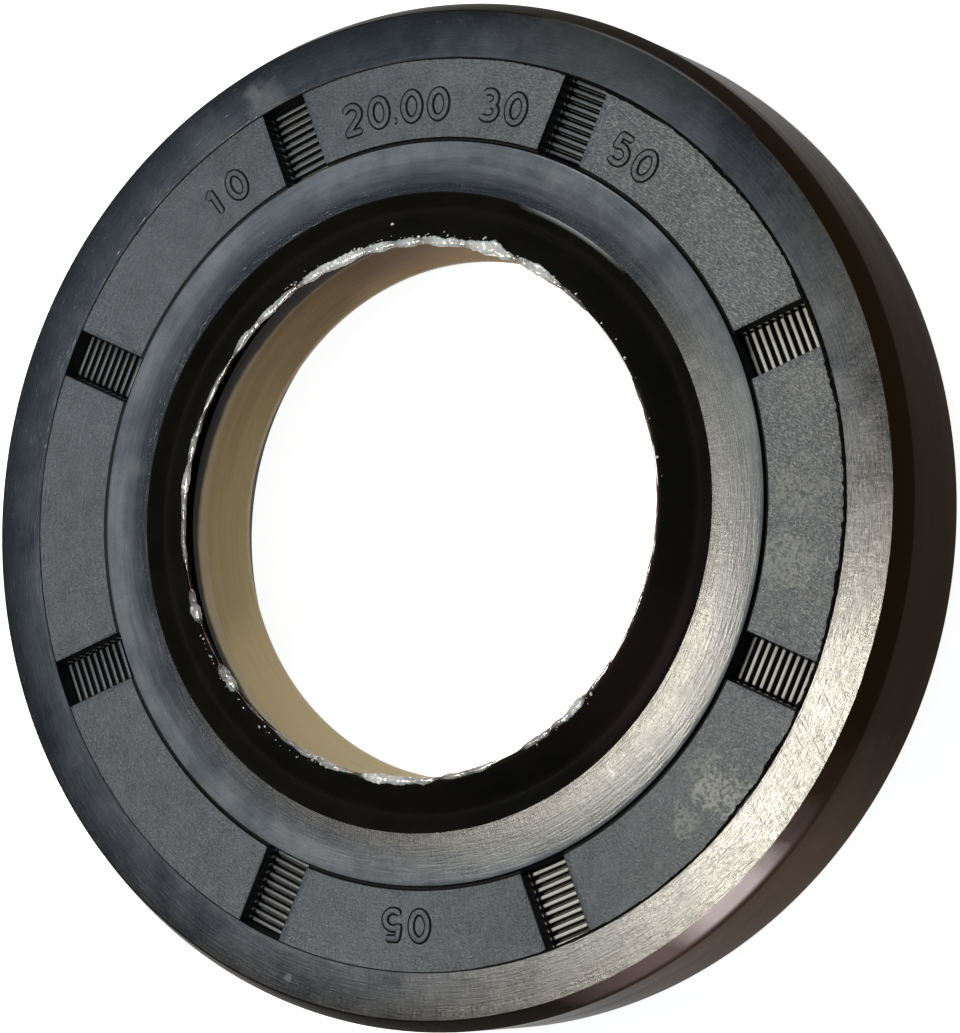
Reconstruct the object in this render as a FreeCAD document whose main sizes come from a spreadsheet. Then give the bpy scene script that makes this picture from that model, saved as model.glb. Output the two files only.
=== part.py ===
import FreeCAD, Part
import math
import os

import Sketcher

# Radial shaft seal for a 35 mm shaft in a 65.55 mm housing bore, of the kind that closes a drum's bearing
# house. A rubber moulding covers a pressed steel ring. In front, towards the marked face, it has a dust lip;
# behind, a sealing lip that a garter spring pulls onto the shaft. Grease fills the pocket between the lips.
#
# Millimetres, +Z up, marked face up. The origin is on the axis, at the end of the sealing lip's head, which
# the seal rests on. Heights called depths are measured down from the marked face.

SIZES = [
    ("outside_diameter", 65.55, "across the rubber where it grips the housing"),
    ("body_height", 10.0, "marked face to back face"),
    ("head_reach", 0.9, "how far the sealing lip's head stands out behind the back face"),
    ("guard_reach", 1.1, "how far the dust lip stands out in front of the marked face"),
    ("front_bevel_width", 0.725, "how far the marked face's edge lies inside the outside"),
    ("front_bevel", 1.5, "height of the bevel under the marked face's edge"),
    ("back_bevel_width", 0.675, "how far the back face's edge lies inside the outside"),
    ("back_bevel", 1.5, "height of the lead-in bevel at the back"),
    ("wall_thickness", 3.0, "outer wall, rubber and steel together"),
    ("floor_thickness", 3.6, "disc under the marked face, rubber and steel together"),
    ("rim_width", 3.805, "from the outside in to the rim's inner edge, where the band starts"),
    ("band_sink", 0.06, "how far the band with the slots lies below the rim"),
    ("crown_fall", 2.73, "from the crown's highest ring out to the collar's outer edge"),
    ("line_width", 0.25, "width of the parting groove round the collar"),
    ("line_depth", 0.3, "depth of the parting groove round the collar"),
    ("crown_offset", 0.62, "from the collar's inner edge out to the crown's highest ring"),
    ("crown_height", 0.27, "how far the collar's crown rises over the face"),
    ("collar_slope", 1.08, "from the channel's lowest ring out to the collar's inner edge"),
    ("guard_width", 2.25, "from the dust lip's edge out to the channel's lowest ring"),
    ("channel_depth", 0.6, "depth of that channel below the face"),
    ("guard_ease", 0.1, "how much further out the dust lip's edge is than the sealing edge"),
    ("guard_land", 0.3, "height of the dust lip's edge"),
    ("guard_tip", 0.3, "width of the bevel on the dust lip's tip"),
    ("guard_wall", 0.6, "from the dust lip's root, underside, out to the channel's lowest ring"),
    ("guard_root_depth", 1.35, "depth of the dust lip's root, underside"),
    ("pocket_undercut", 0.25, "from the dust lip's root out to the grease pocket's wall"),
    ("pocket_depth", 2.0, "depth at which the pocket is full width"),
    ("cone_depth", 3.9, "depth at which the sealing lip's cone starts"),
    ("lip_bore", 33.7, "sealing lip's free opening"),
    ("lip_depth", 6.55, "depth of the sealing edge"),
    ("lip_land", 0.4, "height of the sealing edge"),
    ("flare_height", 2.15, "height of the flare behind the sealing edge"),
    ("head_wall", 2.0, "thickness of the lip's head, behind the flare"),
    ("head_step", 1.2, "from the neck's waist out to the head's outer wall"),
    ("head_shoulder", 1.25, "the head's shoulder over the garter spring's centre line"),
    ("neck_wall", 0.95, "rubber between the pocket and the neck's waist"),
    ("waist_rise", 0.9, "the neck's waist over the head's shoulder"),
    ("neck_flare", 0.7, "from the neck's waist out to where the neck leaves the floor"),
    ("spring_inset", 0.65, "the spring's centre line inside the head's outer wall"),
    ("spring_depth", 7.75, "depth of the garter spring's centre line"),
    ("coil_diameter", 1.8, "outside of the spring's coil"),
    ("coil_clearance", 0.03, "play between the coil and its groove"),
    ("case_cover", 1.3, "rubber outside the steel ring"),
    ("case_thickness", 0.8, "steel sheet"),
    ("case_top_depth", 2.1, "rubber over the steel ring's flange"),
    ("case_end_cover", 1.0, "rubber behind the steel ring's open end"),
    ("case_inset", 1.2, "from the neck in to the inner edge of the steel ring's flange"),
    ("case_bend", 0.4, "inner radius of the steel ring's bend"),
    ("slot_count", 8, "slots round the marked face"),
    ("slot_width", 3.18, "across a slot"),
    ("slot_depth", 1.6, "down to the valleys between the ribs"),
    ("rib_count", 10, "ribs on each slot's floor"),
    ("rib_pitch", 0.52, "from rib to rib"),
    ("rib_width", 0.22, "a rib's crest"),
    ("rib_height", 0.4, "a rib over its valley"),
    ("grease_top_depth", 2.4, "depth at which the grease fill starts"),
    ("grease_top_width", 0.4, "grease on the pocket's wall, at its top"),
    ("grease_width", 0.55, "grease on the pocket's wall, above the cone"),
    ("face_edge_radius", 0.15, "rounding of the marked face's edge"),
    ("grip_edge_radius", 0.4, "rounding where the bevels meet the outside"),
    ("back_edge_radius", 0.4, "rounding of the back face's edges"),
    ("floor_corner_radius", 0.8, "rounding of the corners under the floor"),
    ("waist_radius", 0.6, "rounding of the neck's waist"),
    ("collar_edge_radius", 0.3, "rounding of the collar's inner edge"),
    ("channel_radius", 0.6, "rounding of the channel's bottom"),
    ("guard_edge_radius", 0.1, "rounding of the dust lip's tip"),
    ("head_edge_radius", 0.4, "rounding of the head's outer end"),
]

FACE = "(Sizes.head_reach + Sizes.body_height)"
GUARD_TOP = f"({FACE} + Sizes.guard_reach)"
OUTSIDE = "Sizes.outside_diameter / 2"
FACE_EDGE = f"({OUTSIDE} - Sizes.front_bevel_width)"
BACK_EDGE = f"({OUTSIDE} - Sizes.back_bevel_width)"
WALL_INSIDE = f"({OUTSIDE} - Sizes.wall_thickness)"
CASE_OUTSIDE = f"({OUTSIDE} - Sizes.case_cover)"
RIM_INSIDE = f"({OUTSIDE} - Sizes.rim_width)"
LIP_EDGE = "Sizes.lip_bore / 2"
GUARD_EDGE = f"({LIP_EDGE} + Sizes.guard_ease)"
CHANNEL = f"({GUARD_EDGE} + Sizes.guard_width)"
GUARD_ROOT = f"({CHANNEL} - Sizes.guard_wall)"
POCKET = f"({GUARD_ROOT} + Sizes.pocket_undercut)"
WAIST = f"({POCKET} + Sizes.neck_wall)"
NECK = f"({WAIST} + Sizes.neck_flare)"
HEAD = f"({WAIST} + Sizes.head_step)"
HEAD_INSIDE = f"({HEAD} - Sizes.head_wall)"
SPRING = f"({HEAD} - Sizes.spring_inset)"
CASE_INSIDE = f"({NECK} + Sizes.case_inset)"
COLLAR_INSIDE = f"({CHANNEL} + Sizes.collar_slope)"
CROWN = f"({COLLAR_INSIDE} + Sizes.crown_offset)"
LINE_INSIDE = f"({CROWN} + Sizes.crown_fall)"
LINE_MIDDLE = f"({LINE_INSIDE} + Sizes.line_width / 2)"
LINE_OUTSIDE = f"({LINE_INSIDE} + Sizes.line_width)"
CROWN_RADIUS = "(Sizes.crown_fall^2 + Sizes.crown_height^2) / (2 * Sizes.crown_height)"
CROWN_CENTRE = f"({FACE} + Sizes.crown_height - {CROWN_RADIUS})"
SPRING_HEIGHT = f"({FACE} - Sizes.spring_depth)"
HEAD_TOP = f"({SPRING_HEIGHT} + Sizes.head_shoulder)"
WAIST_HEIGHT = f"({HEAD_TOP} + Sizes.waist_rise)"
FLARE_END = f"({FACE} - Sizes.lip_depth - Sizes.lip_land - Sizes.flare_height)"
BASE = None

doc = FreeCAD.newDocument("shaft_seal")


def make_sheet():
    """The driving dimensions, one row each: what it is, and its number under its own name."""
    sheet = doc.addObject("Spreadsheet::Sheet", "Sizes")
    for row, (name, number, meaning) in enumerate(SIZES, start=1):
        sheet.set(f"A{row}", meaning)
        sheet.set(f"B{row}", str(number))
        sheet.setAlias(f"B{row}", name)
    doc.recompute()
    return sheet


def depth(size):
    """The height that lies the named size below the marked face."""
    return f"{FACE} - Sizes.{size}"


def number(expression):
    """What an expression comes to now. BASE, the level of the origin, is zero."""
    if expression is BASE:
        return 0.0
    return float(sizes.evalExpression(expression))


def make_body(label):
    body = doc.addObject("PartDesign::Body", label)
    body.Label = label
    return body


def plane_of(body, role):
    return next(item for item in body.Origin.OriginFeatures if item.Role == role)


def make_sketch(body, name, role):
    sketch = body.newObject("Sketcher::SketchObject", name)
    sketch.AttachmentSupport = (plane_of(body, role), [""])
    sketch.MapMode = "FlatFace"
    return sketch


def bind(sketch, constraint, expression):
    """Adds a constraint whose value follows an expression."""
    index = sketch.addConstraint(constraint)
    sketch.setExpression(f"Constraints[{index}]", expression)


def place_point(sketch, line, end, across, up):
    """Holds one end of a line at a radius and a height. A height of BASE lies on the sketch's own axis."""
    bind(sketch, Sketcher.Constraint("DistanceX", -1, 1, line, end, number(across)), across)
    if up is BASE:
        sketch.addConstraint(Sketcher.Constraint("PointOnObject", line, end, -1))
    else:
        bind(sketch, Sketcher.Constraint("DistanceY", -1, 1, line, end, number(up)), up)


def draw_outline(sketch, corners):
    """A closed outline of straight lines through (radius, height) corners, each held by its own sizes."""
    points = [FreeCAD.Vector(number(across), number(up), 0) for across, up in corners]
    for start, end in zip(points, points[1:] + points[:1]):
        sketch.addGeometry(Part.LineSegment(start, end), False)
    count = len(points)
    for line in range(count):
        sketch.addConstraint(Sketcher.Constraint("Coincident", line, 2, (line + 1) % count, 1))
    for line, (across, up) in enumerate(corners):
        place_point(sketch, line, 1, across, up)


def turn(body, sketch, kind="PartDesign::Revolution"):
    """Turns a section right round the seal's axis, to add or, as a Groove, to cut."""
    feature = body.newObject(kind, f"{sketch.Name}_turned")
    feature.Profile = sketch
    feature.ReferenceAxis = (sketch, ["V_Axis"])
    feature.Angle = 360
    sketch.Visibility = False
    doc.recompute()
    return feature


def rings_at(feature, places):
    """Names of a turned feature's circular edges at the given (radius, height) places."""
    wanted = [(number(across), number(up)) for across, up in places]
    names = []
    for index, edge in enumerate(feature.Shape.Edges, start=1):
        if not isinstance(edge.Curve, Part.Circle):
            continue
        for radius, height in wanted:
            if math.hypot(edge.Curve.Radius - radius, edge.Curve.Center.z - height) < 1e-4:
                names.append(f"Edge{index}")
    if len(names) != len(wanted):
        raise RuntimeError(f"{feature.Name}: {len(names)} edges found of {len(wanted)}")
    return names


def round_rings(body, places, name, radius):
    """Rounds the circular edges at the given places. The radius is an expression."""
    base = body.Tip
    edges = rings_at(base, places)
    fillet = body.newObject("PartDesign::Fillet", name)
    fillet.Base = (base, edges)
    fillet.setExpression("Radius", radius)
    doc.recompute()


def check_removed(feature, before):
    """Raises an error if a cut took nothing away."""
    if feature.Shape.Volume > before - 1e-3:
        raise RuntimeError(f"{feature.Name} cuts nothing")


def draw_moulding_section(sketch):
    """Half the moulding's section: from the dust lip's edge over the marked face, round the outer wall and
    the head, and back up the sealing lip's cone. The collar's face is one arc; the rest is straight."""
    before_crown = [
        (GUARD_EDGE, f"{GUARD_TOP} - Sizes.guard_land"),
        (f"{GUARD_EDGE} + Sizes.guard_tip", GUARD_TOP),
        (CHANNEL, depth("channel_depth")),
    ]
    after_crown = [
        (LINE_INSIDE, FACE),
        (LINE_INSIDE, depth("line_depth")),
        (LINE_OUTSIDE, depth("line_depth")),
        (LINE_OUTSIDE, depth("band_sink")),
        (RIM_INSIDE, depth("band_sink")),
        (RIM_INSIDE, FACE),
        (FACE_EDGE, FACE),
        (OUTSIDE, depth("front_bevel")),
        (OUTSIDE, "Sizes.head_reach + Sizes.back_bevel"),
        (BACK_EDGE, "Sizes.head_reach"),
        (WALL_INSIDE, "Sizes.head_reach"),
        (WALL_INSIDE, depth("floor_thickness")),
        (NECK, depth("floor_thickness")),
        (WAIST, WAIST_HEIGHT),
        (HEAD, HEAD_TOP),
        (HEAD, BASE),
        (HEAD_INSIDE, BASE),
        (HEAD_INSIDE, FLARE_END),
        (LIP_EDGE, f"{depth('lip_depth')} - Sizes.lip_land"),
        (LIP_EDGE, depth("lip_depth")),
        (POCKET, depth("cone_depth")),
        (POCKET, depth("pocket_depth")),
        (GUARD_ROOT, depth("guard_root_depth")),
    ]

    radius = number(CROWN_RADIUS)
    centre = FreeCAD.Vector(number(CROWN), number(CROWN_CENTRE), 0)
    collar_bore = number(COLLAR_INSIDE)
    bore_angle = math.acos((collar_bore - centre.x) / radius)
    edge_angle = math.acos((number(LINE_INSIDE) - centre.x) / radius)
    bore_point = centre + FreeCAD.Vector(radius * math.cos(bore_angle), radius * math.sin(bore_angle), 0)

    first = [FreeCAD.Vector(number(across), number(up), 0) for across, up in before_crown] + [bore_point]
    second = [FreeCAD.Vector(number(across), number(up), 0) for across, up in after_crown] + [first[0]]
    for start, end in zip(first, first[1:]):
        sketch.addGeometry(Part.LineSegment(start, end), False)
    circle = Part.Circle(centre, FreeCAD.Vector(0, 0, 1), radius)
    crown = sketch.addGeometry(Part.ArcOfCircle(circle, edge_angle, bore_angle), False)
    for start, end in zip(second, second[1:]):
        sketch.addGeometry(Part.LineSegment(start, end), False)

    last = crown + len(after_crown)
    for line in range(crown - 1):
        sketch.addConstraint(Sketcher.Constraint("Coincident", line, 2, line + 1, 1))
    sketch.addConstraint(Sketcher.Constraint("Coincident", crown - 1, 2, crown, 2))
    sketch.addConstraint(Sketcher.Constraint("Coincident", crown, 1, crown + 1, 1))
    for line in range(crown + 1, last):
        sketch.addConstraint(Sketcher.Constraint("Coincident", line, 2, line + 1, 1))
    sketch.addConstraint(Sketcher.Constraint("Coincident", last, 2, 0, 1))

    for line, (across, up) in enumerate(before_crown):
        place_point(sketch, line, 1, across, up)
    for line, (across, up) in enumerate(after_crown, start=crown + 1):
        place_point(sketch, line, 1, across, up)
    bore_place = Sketcher.Constraint("DistanceX", -1, 1, crown, 2, collar_bore)
    bind(sketch, bore_place, COLLAR_INSIDE)
    bind(sketch, Sketcher.Constraint("DistanceX", -1, 1, crown, 3, centre.x), CROWN)
    bind(sketch, Sketcher.Constraint("Radius", crown, radius), CROWN_RADIUS)


def round_moulding(body):
    """Every edge of the turned moulding that a mould would leave round."""
    collar_edge = (COLLAR_INSIDE, f"{CROWN_CENTRE} + sqrt(({CROWN_RADIUS})^2 - Sizes.crown_offset^2)")
    channel = [(CHANNEL, depth("channel_depth"))]
    guard_tip = [
        (GUARD_EDGE, f"{GUARD_TOP} - Sizes.guard_land"),
        (f"{GUARD_EDGE} + Sizes.guard_tip", GUARD_TOP),
    ]
    grip_edges = [(OUTSIDE, depth("front_bevel")), (OUTSIDE, "Sizes.head_reach + Sizes.back_bevel")]
    back_edges = [(BACK_EDGE, "Sizes.head_reach"), (WALL_INSIDE, "Sizes.head_reach")]
    floor_corners = [
        (WALL_INSIDE, depth("floor_thickness")),
        (NECK, depth("floor_thickness")),
    ]
    waist = [(WAIST, WAIST_HEIGHT)]
    round_rings(body, channel, "channel_rounding", "Sizes.channel_radius")
    round_rings(body, [collar_edge], "collar_rounding", "Sizes.collar_edge_radius")
    round_rings(body, guard_tip, "guard_rounding", "Sizes.guard_edge_radius")
    round_rings(body, [(FACE_EDGE, FACE)], "face_rounding", "Sizes.face_edge_radius")
    round_rings(body, grip_edges, "grip_rounding", "Sizes.grip_edge_radius")
    round_rings(body, back_edges, "back_rounding", "Sizes.back_edge_radius")
    round_rings(body, floor_corners, "floor_rounding", "Sizes.floor_corner_radius")
    round_rings(body, waist, "waist_rounding", "Sizes.waist_radius")
    round_rings(body, [(HEAD, BASE)], "head_rounding", "Sizes.head_edge_radius")


def cut_spring_groove(body):
    """The round groove behind the sealing lip that holds the garter spring."""
    before = body.Shape.Volume
    sketch = make_sketch(body, "spring_groove", "XZ_Plane")
    centre = FreeCAD.Vector(number(SPRING), number(SPRING_HEIGHT), 0)
    radius = number("Sizes.coil_diameter / 2 + Sizes.coil_clearance")
    sketch.addGeometry(Part.Circle(centre, FreeCAD.Vector(0, 0, 1), radius), False)
    place_point(sketch, 0, 3, SPRING, SPRING_HEIGHT)
    bind(sketch, Sketcher.Constraint("Radius", 0, radius), "Sizes.coil_diameter / 2 + Sizes.coil_clearance")
    check_removed(turn(body, sketch, "PartDesign::Groove"), before)


def cut_slot(body):
    """One straight-sided slot in the sunk band. Its ends follow the collar's groove and the rim."""
    before = body.Shape.Volume
    sketch = make_sketch(body, "slot", "XY_Plane")
    sketch.setExpression("AttachmentOffset.Base.z", FACE)
    half = number("Sizes.slot_width / 2")
    inner = number(LINE_MIDDLE)
    outer = number(RIM_INSIDE)
    up = FreeCAD.Vector(0, 0, 1)
    origin = FreeCAD.Vector(0, 0, 0)
    corners = [(math.sqrt(inner**2 - half**2), side * half) for side in (-1, 1)]
    far_corners = [(math.sqrt(outer**2 - half**2), side * half) for side in (-1, 1)]
    for near, far in zip(corners, far_corners):
        sketch.addGeometry(Part.LineSegment(FreeCAD.Vector(*near, 0), FreeCAD.Vector(*far, 0)), False)
    for radius in (inner, outer):
        reach = math.asin(half / radius)
        sketch.addGeometry(Part.ArcOfCircle(Part.Circle(origin, up, radius), -reach, reach), False)
    near_arc, far_arc = 2, 3
    for line, end in ((0, 1), (1, 2)):
        sketch.addConstraint(Sketcher.Constraint("Coincident", line, 1, near_arc, end))
        sketch.addConstraint(Sketcher.Constraint("Coincident", line, 2, far_arc, end))
        sketch.addConstraint(Sketcher.Constraint("Horizontal", line))
    for arc, radius in ((near_arc, LINE_MIDDLE), (far_arc, RIM_INSIDE)):
        sketch.addConstraint(Sketcher.Constraint("Coincident", arc, 3, -1, 1))
        bind(sketch, Sketcher.Constraint("Radius", arc, number(radius)), radius)
    bind(sketch, Sketcher.Constraint("DistanceY", 0, 1, -1, 1, half), "Sizes.slot_width / 2")
    bind(sketch, Sketcher.Constraint("DistanceY", -1, 1, 1, 1, half), "Sizes.slot_width / 2")
    pocket = body.newObject("PartDesign::Pocket", "slot_cut")
    pocket.Profile = sketch
    pocket.setExpression("Length", "Sizes.slot_depth")
    sketch.Visibility = False
    doc.recompute()
    check_removed(pocket, before)
    return pocket


def add_ribs(body):
    """The row of straight ribs across one slot's floor, as long as the slot is wide."""
    sketch = make_sketch(body, "ribs", "XY_Plane")
    sketch.setExpression("AttachmentOffset.Base.z", depth("slot_depth"))
    half = number("Sizes.slot_width / 2")
    width = number("Sizes.rib_width")
    for rib in range(int(number("Sizes.rib_count"))):
        near = (
            f"({LINE_MIDDLE} + {RIM_INSIDE}) / 2 + ({rib} - (Sizes.rib_count - 1) / 2) * Sizes.rib_pitch"
            " - Sizes.rib_width / 2"
        )
        left = number(near)
        corners = [(left, -half), (left + width, -half), (left + width, half), (left, half)]
        points = [FreeCAD.Vector(*corner, 0) for corner in corners]
        low, right, high, back = [
            sketch.addGeometry(Part.LineSegment(start, end), False)
            for start, end in zip(points, points[1:] + points[:1])
        ]
        for line, following in ((low, right), (right, high), (high, back), (back, low)):
            sketch.addConstraint(Sketcher.Constraint("Coincident", line, 2, following, 1))
        for line in (low, high):
            sketch.addConstraint(Sketcher.Constraint("Horizontal", line))
        sketch.addConstraint(Sketcher.Constraint("Vertical", right))
        sketch.addConstraint(Sketcher.Constraint("Symmetric", back, 1, back, 2, -1))
        bind(sketch, Sketcher.Constraint("DistanceX", -1, 1, low, 1, left), near)
        bind(sketch, Sketcher.Constraint("DistanceX", low, 1, low, 2, width), "Sizes.rib_width")
        bind(sketch, Sketcher.Constraint("DistanceY", right, 1, right, 2, 2 * half), "Sizes.slot_width")
    pad = body.newObject("PartDesign::Pad", "ribs_raised")
    pad.Profile = sketch
    pad.setExpression("Length", "Sizes.rib_height")
    sketch.Visibility = False
    doc.recompute()
    return pad


def repeat_round(body, features):
    """Repeats features round the seal's axis, one for each slot."""
    pattern = body.newObject("PartDesign::PolarPattern", "slots_round")
    pattern.Originals = features
    pattern.Axis = (plane_of(body, "Z_Axis"), [""])
    pattern.Angle = 360
    pattern.setExpression("Occurrences", "Sizes.slot_count")
    body.Tip = pattern
    doc.recompute()
    return pattern


def make_steel_insert():
    """Pressed steel ring with an inward flange, which stiffens the outer wall and the floor."""
    body = make_body("steel_insert")
    sketch = make_sketch(body, "case_section", "XZ_Plane")
    inside = f"({CASE_OUTSIDE} - Sizes.case_thickness)"
    underside = f"{depth('case_top_depth')} - Sizes.case_thickness"
    end = "Sizes.head_reach + Sizes.case_end_cover"
    draw_outline(
        sketch,
        [
            (CASE_INSIDE, depth("case_top_depth")),
            (CASE_OUTSIDE, depth("case_top_depth")),
            (CASE_OUTSIDE, end),
            (inside, end),
            (inside, underside),
            (CASE_INSIDE, underside),
        ],
    )
    turn(body, sketch)
    outer_bend = [(CASE_OUTSIDE, depth("case_top_depth"))]
    round_rings(body, [(inside, underside)], "inner_bend", "Sizes.case_bend")
    round_rings(body, outer_bend, "outer_bend", "Sizes.case_bend + Sizes.case_thickness")
    return body


def make_rubber_body(insert):
    """The rubber moulding, round the steel ring that it is moulded over."""
    body = make_body("moulding")
    sketch = make_sketch(body, "moulding_section", "XZ_Plane")
    draw_moulding_section(sketch)
    turn(body, sketch)
    round_moulding(body)
    cut_spring_groove(body)
    repeat_round(body, [cut_slot(body), add_ribs(body)])
    rubber = doc.addObject("Part::Cut", "rubber_body")
    rubber.Label = "rubber_body"
    rubber.Base = body
    rubber.Tool = insert
    doc.recompute()
    return rubber


def make_garter_spring():
    """The outer form of the closely wound coil spring that lies in the groove behind the sealing lip."""
    spring = doc.addObject("Part::Torus", "garter_spring")
    spring.Label = "garter_spring"
    spring.setExpression("Radius1", SPRING)
    spring.setExpression("Radius2", "Sizes.coil_diameter / 2")
    spring.setExpression("Placement.Base.z", SPRING_HEIGHT)
    doc.recompute()
    return spring


def make_lip_grease():
    """Grease in the pocket between the lips: it lines the pocket's wall and thins out down the sealing lip's
    cone, to nothing at the sealing edge."""
    body = make_body("lip_grease")
    sketch = make_sketch(body, "grease_section", "XZ_Plane")
    draw_outline(
        sketch,
        [
            (f"{POCKET} - Sizes.grease_top_width", depth("grease_top_depth")),
            (POCKET, depth("grease_top_depth")),
            (POCKET, depth("cone_depth")),
            (LIP_EDGE, depth("lip_depth")),
            (f"{POCKET} - Sizes.grease_width", depth("cone_depth")),
        ],
    )
    turn(body, sketch)
    return body


def check_and_write(parts):
    """Checks every object, then writes each sub-part to its own file."""
    for item in doc.Objects:
        if "Invalid" in item.State or "Error" in item.State:
            raise RuntimeError(f"{item.Name} failed: {item.State}")
    os.makedirs("parts", exist_ok=True)
    for item in parts:
        shape = item.Shape
        if shape.isNull() or not shape.isValid():
            raise RuntimeError(f"{item.Label} has no valid shape")
    for item in parts:
        item.Shape.exportStep(f"parts/{item.Label}.step")
        box = item.Shape.BoundBox
        print(f"{item.Label}: {item.Shape.Volume:.2f} mm3, z {box.ZMin:.3f} to {box.ZMax:.3f},"
              f" {box.XLength:.3f} across, {len(item.Shape.Solids)} solid")


sizes = make_sheet()
steel_insert = make_steel_insert()
rubber_body = make_rubber_body(steel_insert)
garter_spring = make_garter_spring()
lip_grease = make_lip_grease()
doc.recompute()
check_and_write([rubber_body, steel_insert, garter_spring, lip_grease])
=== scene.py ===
import math

import bpy
import numpy as np
from mathutils import Matrix, Vector


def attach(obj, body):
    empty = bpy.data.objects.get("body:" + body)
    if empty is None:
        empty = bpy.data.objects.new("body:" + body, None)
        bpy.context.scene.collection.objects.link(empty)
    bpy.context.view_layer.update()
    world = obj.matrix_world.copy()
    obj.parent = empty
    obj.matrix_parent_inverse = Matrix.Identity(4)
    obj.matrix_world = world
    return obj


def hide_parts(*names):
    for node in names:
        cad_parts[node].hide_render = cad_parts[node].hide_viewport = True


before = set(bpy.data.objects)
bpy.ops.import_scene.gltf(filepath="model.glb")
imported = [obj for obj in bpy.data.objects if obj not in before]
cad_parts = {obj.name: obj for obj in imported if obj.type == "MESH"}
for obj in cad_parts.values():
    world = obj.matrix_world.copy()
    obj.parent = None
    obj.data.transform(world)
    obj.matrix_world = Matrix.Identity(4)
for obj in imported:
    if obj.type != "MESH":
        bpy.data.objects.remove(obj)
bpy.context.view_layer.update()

# Radial shaft seal lying with its marked face up. Lengths here are millimetres until they go into a mesh,
# in the CAD's frame: the axis is Z, the seal rests on z = 0, and slot 1 lies along +X.
MM = 0.001
TURN = 0.365  # how far slot 1 is turned from the picture's horizontal, radians
FACE = 10.9  # height of the rim
BAND = 10.84  # height of the sunk band
LINE_FLOOR = 10.6  # floor of the parting groove between the collar and the band
SLOT_FLOOR = 9.3
RIB_TOP = 9.7
GUARD_TOP = 12.0  # top of the dust lip
COLLAR_START = 20.34  # the collar's inner edge
COLLAR_TOP = 21.0  # from here outwards the collar has even rows
COLLAR_EDGE = 23.63
LINE_MIDDLE = 23.755
LINE_OUTSIDE = 23.88
RIM_EDGE = 28.97  # the rim's inner edge, where the band ends
RIM_END = 31.93
CROWN_RING = 20.9  # the collar is highest over this radius
CROWN_RISE = 0.27
OUTSIDE = 32.775
WALL_INSIDE = 29.775
BACK = 0.9
RISER_START = 19.6  # where the channel's outer side begins to rise
SLOTS = 8
SLOT_HALF = 1.59
SLOT_START, SLOT_END = 23.86, 28.875
RIBS = 10
RIB_PITCH = 0.52
BETWEEN_SLOTS = 35  # columns of the moulding between two slots
SPRING_RING = 20.35
SPRING_HEIGHT = 3.15
SPRING_HALF = 0.9
GROOVE_HALF = 0.93

# Parts of the moulding's section, as corners of radius, height and rounding.
GUARD_LIP = [(17.1, 11.3, 0), (16.95, 11.7, 0.1), (17.25, GUARD_TOP, 0.1), (19.2, 10.3, 0.6)]
OUTER_WALL = [(RIM_END, FACE, 0), (32.05, FACE, 0.12), (OUTSIDE, 9.4, 0.4), (OUTSIDE, 2.4, 0.4),
              (32.1, BACK, 0.4), (WALL_INSIDE, BACK, 0.4), (WALL_INSIDE, 5.0, 0)]
BACK_CHANNEL = [(WALL_INSIDE, 4.5, 0), (WALL_INSIDE, 7.3, 0.8), (20.5, 7.3, 0.8), (19.8, 5.3, 0.6),
                (21.0, 4.4, 0.1), (21.0, 3.815, 0)]
SEALING_LIP = [(21.0, 2.485, 0), (21.0, 0.0, 0.4), (19.0, 0.0, 0.15), (19.0, 1.8, 0.3), (16.85, 3.95, 0.06),
               (16.85, 4.35, 0.06), (18.85, 7.0, 0.4), (18.85, 8.9, 0.3), (18.6, 9.55, 0.3), (17.0, 11.6, 0)]
RIB_SECTION = [(-0.14, SLOT_FLOOR), (-0.125, RIB_TOP - 0.06), (-0.085, RIB_TOP),
               (0.085, RIB_TOP), (0.125, RIB_TOP - 0.06), (0.14, SLOT_FLOOR)]


def full_turn(count):
    """count angles spread evenly once round."""
    return np.linspace(0, 2 * np.pi, count, endpoint=False)


def waves(angle, seed, lowest, highest, fall=0.5):
    """A closed wavy line round the seal: a sum of cosines that go a whole number of times round, from lowest
    to highest, each with a random phase and a size of its number to the power -fall. Its swing is about 1."""
    rng = np.random.default_rng(seed)
    turns = np.arange(lowest, highest + 1)
    sizes = rng.normal(1.0, 0.35, turns.size) * turns ** -fall
    phases = rng.uniform(0, 2 * np.pi, turns.size)
    line = (sizes[:, None] * np.cos(turns[:, None] * np.ravel(angle)[None, :] + phases[:, None])).sum(axis=0)
    return (line / np.sqrt((sizes**2).sum() * 0.5) / 2.0).reshape(np.shape(angle))


def ripples(angle, around, seed, lowest, highest, most=3, fall=0.3, terms=60):
    """A wavy surface closed in both directions: a sum of cosines of a whole number times one angle plus a
    whole number, up to most, times the other, with random phases. Its swing is about 1."""
    rng = np.random.default_rng(seed)
    along = rng.integers(lowest, highest + 1, terms)
    across = rng.integers(-most, most + 1, terms)
    sizes = (along / lowest) ** -fall
    phases = rng.uniform(0, 2 * np.pi, terms)
    total = sum(s * np.cos(n * angle + m * around + p) for n, m, s, p in zip(along, across, sizes, phases))
    return total / np.sqrt((sizes**2).sum() * 0.5) / 2.0


def turned(radius, angle, height):
    """Points on rings: x = radius cos(angle), y = radius sin(angle), z = height, in metres."""
    radius, angle, height = np.broadcast_arrays(radius, angle, height)
    return np.stack([radius * np.cos(angle), radius * np.sin(angle), height], axis=-1) * MM


def smooth_piece(mesh, finishes, finish):
    """A smooth piece from a finished mesh. finish gives each face's material, or None for the first."""
    mesh.polygons.foreach_set("use_smooth", np.ones(len(mesh.polygons), dtype=bool))
    for material in finishes:
        mesh.materials.append(material)
    if finish is not None:
        mesh.polygons.foreach_set("material_index", np.asarray(finish, np.int32).ravel())
    mesh.validate()
    piece = bpy.data.objects.new(mesh.name, mesh)
    bpy.context.scene.collection.objects.link(piece)
    return piece


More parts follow.
